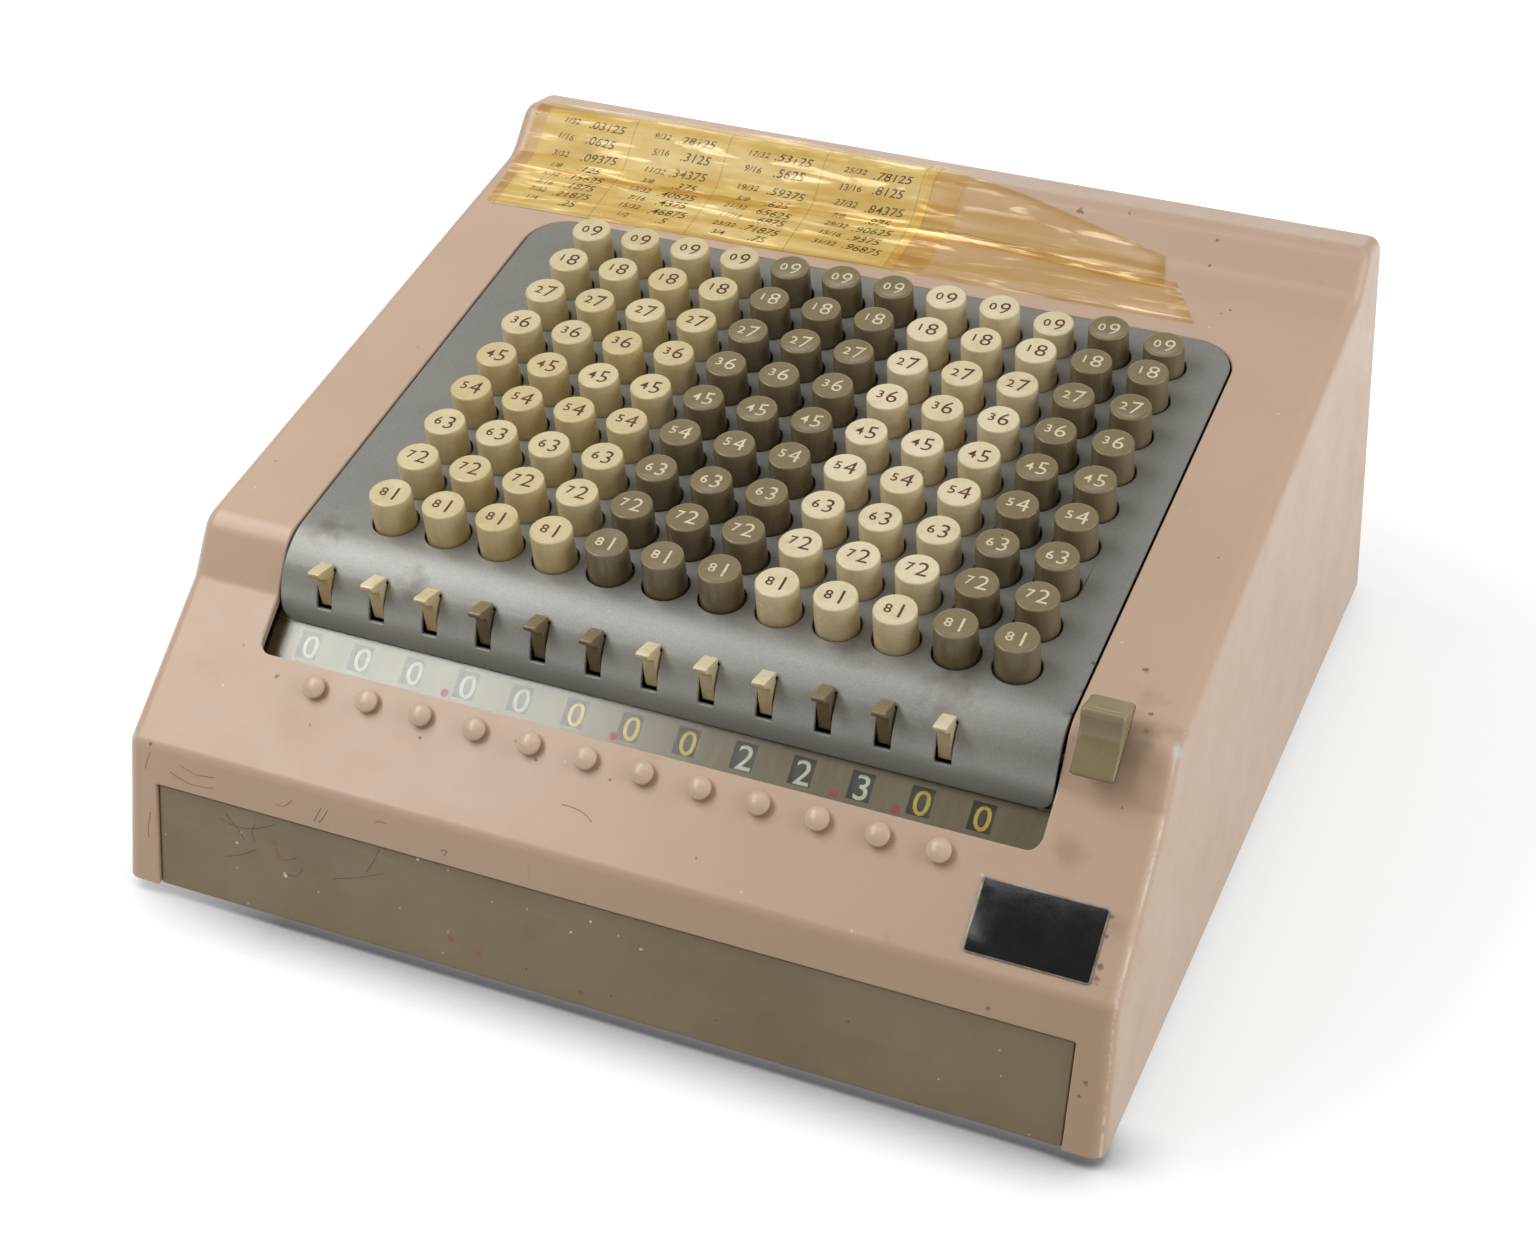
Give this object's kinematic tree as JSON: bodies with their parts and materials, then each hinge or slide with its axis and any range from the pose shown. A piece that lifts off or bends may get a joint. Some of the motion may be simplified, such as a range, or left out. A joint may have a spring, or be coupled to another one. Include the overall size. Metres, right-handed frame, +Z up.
{
  "type": "electric calculator",
  "caption": "Key-driven electric desk calculator: sloping enamelled casing, full keyboard of round keys, lever row and a number register behind a window.",
  "frame": {"origin": "on the table, under the middle of the casing", "axes": "+X to the user's right, +Y to the rear, +Z up"},
  "size_m": [0.334, 0.335, 0.1619],
  "materials": {
    "casing_enamel": "satin stoved enamel, pinkish beige, worn along the edges",
    "panel_paint": "satin brown paint",
    "plate_hammertone": "fine hammered grey paint",
    "window_clear": "clear strip",
    "mask_paint": "matte grey-brown paint",
    "bare_steel": "plain sheet steel",
    "bright_steel": "ground bar",
    "motor_paint": "dark grey paint",
    "foot_rubber": "matte moulded rubber",
    "cream_plastic": "moulded cream plastic, polished by use",
    "brown_plastic": "moulded olive-brown plastic, polished by use",
    "wheel_black": "matte black",
    "button_plastic": "moulded pink plastic"
  },
  "bodies": {
    "chassis": {"casing": "casing_enamel", "front_panel": "panel_paint", "keyboard_plate": "plate_hammertone", "register_window": "window_clear", "register_mask": "mask_paint", "base_plate": "bare_steel", "feet": "foot_rubber", "side_frames": "bare_steel", "stem_guide": "bare_steel", "cross_rods": "bright_steel", "motor": "motor_paint", "case_screws": "bright_steel"},
    "key_row_1": {"key_row_1": "cream_plastic"},
    "key_row_2": {"key_row_2": "cream_plastic"},
    "key_row_3": {"key_row_3": "cream_plastic"},
    "key_row_4": {"key_row_4": "cream_plastic"},
    "key_row_5": {"key_row_5": "cream_plastic"},
    "key_row_6": {"key_row_6": "cream_plastic"},
    "key_row_7": {"key_row_7": "cream_plastic"},
    "key_row_8": {"key_row_8": "cream_plastic"},
    "key_row_9": {"key_row_9": "cream_plastic"},
    "lever_1": {"lever_1": "cream_plastic"},
    "lever_2": {"lever_2": "cream_plastic"},
    "lever_3": {"lever_3": "cream_plastic"},
    "lever_4": {"lever_4": "brown_plastic"},
    "lever_5": {"lever_5": "brown_plastic"},
    "lever_6": {"lever_6": "brown_plastic"},
    "lever_7": {"lever_7": "cream_plastic"},
    "lever_8": {"lever_8": "cream_plastic"},
    "lever_9": {"lever_9": "cream_plastic"},
    "lever_10": {"lever_10": "brown_plastic"},
    "lever_11": {"lever_11": "brown_plastic"},
    "lever_12": {"lever_12": "cream_plastic"},
    "number_wheel_1": {"number_wheel_1": "wheel_black"},
    "number_wheel_2": {"number_wheel_2": "wheel_black"},
    "number_wheel_3": {"number_wheel_3": "wheel_black"},
    "number_wheel_4": {"number_wheel_4": "wheel_black"},
    "number_wheel_5": {"number_wheel_5": "wheel_black"},
    "number_wheel_6": {"number_wheel_6": "wheel_black"},
    "number_wheel_7": {"number_wheel_7": "wheel_black"},
    "number_wheel_8": {"number_wheel_8": "wheel_black"},
    "number_wheel_9": {"number_wheel_9": "wheel_black"},
    "number_wheel_10": {"number_wheel_10": "wheel_black"},
    "number_wheel_11": {"number_wheel_11": "wheel_black"},
    "number_wheel_12": {"number_wheel_12": "wheel_black"},
    "number_wheel_13": {"number_wheel_13": "wheel_black"},
    "point_button_1": {"point_button_1": "button_plastic"},
    "point_button_2": {"point_button_2": "button_plastic"},
    "point_button_3": {"point_button_3": "button_plastic"},
    "point_button_4": {"point_button_4": "button_plastic"},
    "point_button_5": {"point_button_5": "button_plastic"},
    "point_button_6": {"point_button_6": "button_plastic"},
    "point_button_7": {"point_button_7": "button_plastic"},
    "point_button_8": {"point_button_8": "button_plastic"},
    "point_button_9": {"point_button_9": "button_plastic"},
    "point_button_10": {"point_button_10": "button_plastic"},
    "point_button_11": {"point_button_11": "button_plastic"},
    "point_button_12": {"point_button_12": "button_plastic"},
    "clear_key": {"clear_key": "brown_plastic"},
    "drive_shaft": {"drive_shaft": "bright_steel"}
  },
  "joints": [
    {"name": "key_row_1_press", "type": "slide", "parent": "chassis", "child": "key_row_1", "axis": [0, 0.1771, -0.9842], "range_m": [0, 0.006], "stiffness_N_per_m": 300, "springref_m": -0.006},
    {"name": "key_row_2_press", "type": "slide", "parent": "chassis", "child": "key_row_2", "axis": [0, 0.1771, -0.9842], "range_m": [0, 0.006], "stiffness_N_per_m": 300, "springref_m": -0.006},
    {"name": "key_row_3_press", "type": "slide", "parent": "chassis", "child": "key_row_3", "axis": [0, 0.1771, -0.9842], "range_m": [0, 0.006], "stiffness_N_per_m": 300, "springref_m": -0.006},
    {"name": "key_row_4_press", "type": "slide", "parent": "chassis", "child": "key_row_4", "axis": [0, 0.1771, -0.9842], "range_m": [0, 0.006], "stiffness_N_per_m": 300, "springref_m": -0.006},
    {"name": "key_row_5_press", "type": "slide", "parent": "chassis", "child": "key_row_5", "axis": [0, 0.1771, -0.9842], "range_m": [0, 0.006], "stiffness_N_per_m": 300, "springref_m": -0.006},
    {"name": "key_row_6_press", "type": "slide", "parent": "chassis", "child": "key_row_6", "axis": [0, 0.1771, -0.9842], "range_m": [0, 0.006], "stiffness_N_per_m": 300, "springref_m": -0.006},
    {"name": "key_row_7_press", "type": "slide", "parent": "chassis", "child": "key_row_7", "axis": [0, 0.1771, -0.9842], "range_m": [0, 0.006], "stiffness_N_per_m": 300, "springref_m": -0.006},
    {"name": "key_row_8_press", "type": "slide", "parent": "chassis", "child": "key_row_8", "axis": [0, 0.1771, -0.9842], "range_m": [0, 0.006], "stiffness_N_per_m": 300, "springref_m": -0.006},
    {"name": "key_row_9_press", "type": "slide", "parent": "chassis", "child": "key_row_9", "axis": [0, 0.1771, -0.9842], "range_m": [0, 0.006], "stiffness_N_per_m": 300, "springref_m": -0.006},
    {"name": "lever_1_swing", "type": "hinge", "parent": "chassis", "child": "lever_1", "pos_m": [0, -0.10056, 0.09198], "axis": [1, 0, 0], "range_deg": [0, 12]},
    {"name": "lever_2_swing", "type": "hinge", "parent": "chassis", "child": "lever_2", "pos_m": [0, -0.10056, 0.09198], "axis": [1, 0, 0], "range_deg": [0, 12]},
    {"name": "lever_3_swing", "type": "hinge", "parent": "chassis", "child": "lever_3", "pos_m": [0, -0.10056, 0.09198], "axis": [1, 0, 0], "range_deg": [0, 12]},
    {"name": "lever_4_swing", "type": "hinge", "parent": "chassis", "child": "lever_4", "pos_m": [0, -0.10056, 0.09198], "axis": [1, 0, 0], "range_deg": [0, 12]},
    {"name": "lever_5_swing", "type": "hinge", "parent": "chassis", "child": "lever_5", "pos_m": [0, -0.10056, 0.09198], "axis": [1, 0, 0], "range_deg": [0, 12]},
    {"name": "lever_6_swing", "type": "hinge", "parent": "chassis", "child": "lever_6", "pos_m": [0, -0.10056, 0.09198], "axis": [1, 0, 0], "range_deg": [0, 12]},
    {"name": "lever_7_swing", "type": "hinge", "parent": "chassis", "child": "lever_7", "pos_m": [0, -0.10056, 0.09198], "axis": [1, 0, 0], "range_deg": [0, 12]},
    {"name": "lever_8_swing", "type": "hinge", "parent": "chassis", "child": "lever_8", "pos_m": [0, -0.10056, 0.09198], "axis": [1, 0, 0], "range_deg": [0, 12]},
    {"name": "lever_9_swing", "type": "hinge", "parent": "chassis", "child": "lever_9", "pos_m": [0, -0.10056, 0.09198], "axis": [1, 0, 0], "range_deg": [0, 12]},
    {"name": "lever_10_swing", "type": "hinge", "parent": "chassis", "child": "lever_10", "pos_m": [0, -0.10056, 0.09198], "axis": [1, 0, 0], "range_deg": [0, 12]},
    {"name": "lever_11_swing", "type": "hinge", "parent": "chassis", "child": "lever_11", "pos_m": [0, -0.10056, 0.09198], "axis": [1, 0, 0], "range_deg": [0, 12]},
    {"name": "lever_12_swing", "type": "hinge", "parent": "chassis", "child": "lever_12", "pos_m": [0, -0.10056, 0.09198], "axis": [1, 0, 0], "range_deg": [0, 12]},
    {"name": "number_wheel_1_spin", "type": "hinge", "parent": "chassis", "child": "number_wheel_1", "pos_m": [0, -0.10796, 0.06531], "axis": [1, 0, 0], "continuous": true},
    {"name": "number_wheel_2_spin", "type": "hinge", "parent": "chassis", "child": "number_wheel_2", "pos_m": [0, -0.10796, 0.06531], "axis": [1, 0, 0], "continuous": true},
    {"name": "number_wheel_3_spin", "type": "hinge", "parent": "chassis", "child": "number_wheel_3", "pos_m": [0, -0.10796, 0.06531], "axis": [1, 0, 0], "continuous": true},
    {"name": "number_wheel_4_spin", "type": "hinge", "parent": "chassis", "child": "number_wheel_4", "pos_m": [0, -0.10796, 0.06531], "axis": [1, 0, 0], "continuous": true},
    {"name": "number_wheel_5_spin", "type": "hinge", "parent": "chassis", "child": "number_wheel_5", "pos_m": [0, -0.10796, 0.06531], "axis": [1, 0, 0], "continuous": true},
    {"name": "number_wheel_6_spin", "type": "hinge", "parent": "chassis", "child": "number_wheel_6", "pos_m": [0, -0.10796, 0.06531], "axis": [1, 0, 0], "continuous": true},
    {"name": "number_wheel_7_spin", "type": "hinge", "parent": "chassis", "child": "number_wheel_7", "pos_m": [0, -0.10796, 0.06531], "axis": [1, 0, 0], "continuous": true},
    {"name": "number_wheel_8_spin", "type": "hinge", "parent": "chassis", "child": "number_wheel_8", "pos_m": [0, -0.10796, 0.06531], "axis": [1, 0, 0], "continuous": true},
    {"name": "number_wheel_9_spin", "type": "hinge", "parent": "chassis", "child": "number_wheel_9", "pos_m": [0, -0.10796, 0.06531], "axis": [1, 0, 0], "continuous": true},
    {"name": "number_wheel_10_spin", "type": "hinge", "parent": "chassis", "child": "number_wheel_10", "pos_m": [0, -0.10796, 0.06531], "axis": [1, 0, 0], "continuous": true},
    {"name": "number_wheel_11_spin", "type": "hinge", "parent": "chassis", "child": "number_wheel_11", "pos_m": [0, -0.10796, 0.06531], "axis": [1, 0, 0], "continuous": true},
    {"name": "number_wheel_12_spin", "type": "hinge", "parent": "chassis", "child": "number_wheel_12", "pos_m": [0, -0.10796, 0.06531], "axis": [1, 0, 0], "continuous": true},
    {"name": "number_wheel_13_spin", "type": "hinge", "parent": "chassis", "child": "number_wheel_13", "pos_m": [0, -0.10796, 0.06531], "axis": [1, 0, 0], "continuous": true},
    {"name": "point_button_1_press", "type": "slide", "parent": "chassis", "child": "point_button_1", "axis": [0, 0.6494, -0.7604], "range_m": [0, 0.001], "stiffness_N_per_m": 100, "springref_m": -0.003},
    {"name": "point_button_2_press", "type": "slide", "parent": "chassis", "child": "point_button_2", "axis": [0, 0.6494, -0.7604], "range_m": [0, 0.001], "stiffness_N_per_m": 100, "springref_m": -0.003},
    {"name": "point_button_3_press", "type": "slide", "parent": "chassis", "child": "point_button_3", "axis": [0, 0.6494, -0.7604], "range_m": [0, 0.001], "stiffness_N_per_m": 100, "springref_m": -0.003},
    {"name": "point_button_4_press", "type": "slide", "parent": "chassis", "child": "point_button_4", "axis": [0, 0.6494, -0.7604], "range_m": [0, 0.001], "stiffness_N_per_m": 100, "springref_m": -0.003},
    {"name": "point_button_5_press", "type": "slide", "parent": "chassis", "child": "point_button_5", "axis": [0, 0.6494, -0.7604], "range_m": [0, 0.001], "stiffness_N_per_m": 100, "springref_m": -0.003},
    {"name": "point_button_6_press", "type": "slide", "parent": "chassis", "child": "point_button_6", "axis": [0, 0.6494, -0.7604], "range_m": [0, 0.001], "stiffness_N_per_m": 100, "springref_m": -0.003},
    {"name": "point_button_7_press", "type": "slide", "parent": "chassis", "child": "point_button_7", "axis": [0, 0.6494, -0.7604], "range_m": [0, 0.001], "stiffness_N_per_m": 100, "springref_m": -0.003},
    {"name": "point_button_8_press", "type": "slide", "parent": "chassis", "child": "point_button_8", "axis": [0, 0.6494, -0.7604], "range_m": [0, 0.001], "stiffness_N_per_m": 100, "springref_m": -0.003},
    {"name": "point_button_9_press", "type": "slide", "parent": "chassis", "child": "point_button_9", "axis": [0, 0.6494, -0.7604], "range_m": [0, 0.001], "stiffness_N_per_m": 100, "springref_m": -0.003},
    {"name": "point_button_10_press", "type": "slide", "parent": "chassis", "child": "point_button_10", "axis": [0, 0.6494, -0.7604], "range_m": [0, 0.001], "stiffness_N_per_m": 100, "springref_m": -0.003},
    {"name": "point_button_11_press", "type": "slide", "parent": "chassis", "child": "point_button_11", "axis": [0, 0.6494, -0.7604], "range_m": [0, 0.001], "stiffness_N_per_m": 100, "springref_m": -0.003},
    {"name": "point_button_12_press", "type": "slide", "parent": "chassis", "child": "point_button_12", "axis": [0, 0.6494, -0.7604], "range_m": [0, 0.001], "stiffness_N_per_m": 100, "springref_m": -0.003},
    {"name": "clear_key_press", "type": "slide", "parent": "chassis", "child": "clear_key", "axis": [0, 0.6691, -0.7431], "range_m": [0, 0.002], "stiffness_N_per_m": 300, "springref_m": -0.004},
    {"name": "drive_shaft_spin", "type": "hinge", "parent": "chassis", "child": "drive_shaft", "pos_m": [0, 0.11871, 0.046], "axis": [1, 0, 0], "continuous": true}
  ]
}
